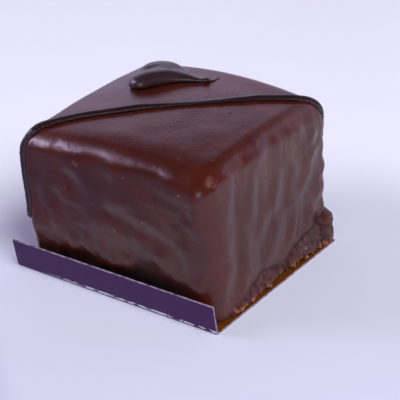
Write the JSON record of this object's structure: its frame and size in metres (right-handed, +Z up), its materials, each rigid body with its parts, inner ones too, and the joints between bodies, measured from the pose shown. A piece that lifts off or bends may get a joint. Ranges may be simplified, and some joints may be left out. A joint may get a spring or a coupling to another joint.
{
  "type": "chocolate gateau",
  "caption": "Small square cake in glossy chocolate coating with a piped diagonal line and a piped heart, on a folded gold and purple pastry card.",
  "frame": {"origin": "centre of the card's underside", "axes": "+Z up; the card's lip and the cake's dimpled front face -Y; the wall with leaning runs of coating faces +X"},
  "size_m": [0.0631, 0.0541, 0.0452],
  "materials": {
    "chocolate_coating": "satin milk and dark chocolate coating",
    "dark_chocolate": "glossy dark piped chocolate",
    "gold_card": "thin gold-coated card, purple on the outside of its lip"
  },
  "bodies": {
    "root": {"gateau": "chocolate_coating", "chocolate_heart": "dark_chocolate", "pastry_card": "gold_card"}
  },
  "joints": []
}
